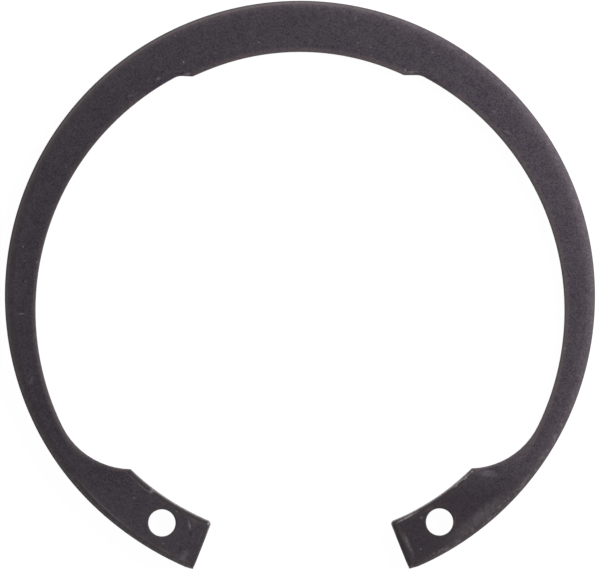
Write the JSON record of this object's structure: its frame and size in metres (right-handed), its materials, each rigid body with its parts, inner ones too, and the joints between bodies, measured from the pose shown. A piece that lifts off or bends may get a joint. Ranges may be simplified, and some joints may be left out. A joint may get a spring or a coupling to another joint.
{
  "type": "internal circlip retaining ring",
  "caption": "Flat retaining ring of dark spring steel for a groove in a bore: open at one side, with tapered arms, a wider back and a plier hole in each end lug.",
  "frame": {"origin": "centre of the outer circle on the lower face, which the ring lies on", "axes": "+Z square to the ring, from the sheared lower face towards the face with the rounded rim; +Y from the centre to the middle of the wide back, so that the gap faces -Y; +X to the right arm"},
  "size_m": [0.0542, 0.0523, 0.002],
  "materials": {
    "phosphated_steel": "spring steel, phosphated and oiled, matt grey-black with brighter worn edges"
  },
  "bodies": {
    "root": {"retaining_ring": "phosphated_steel"}
  },
  "joints": []
}
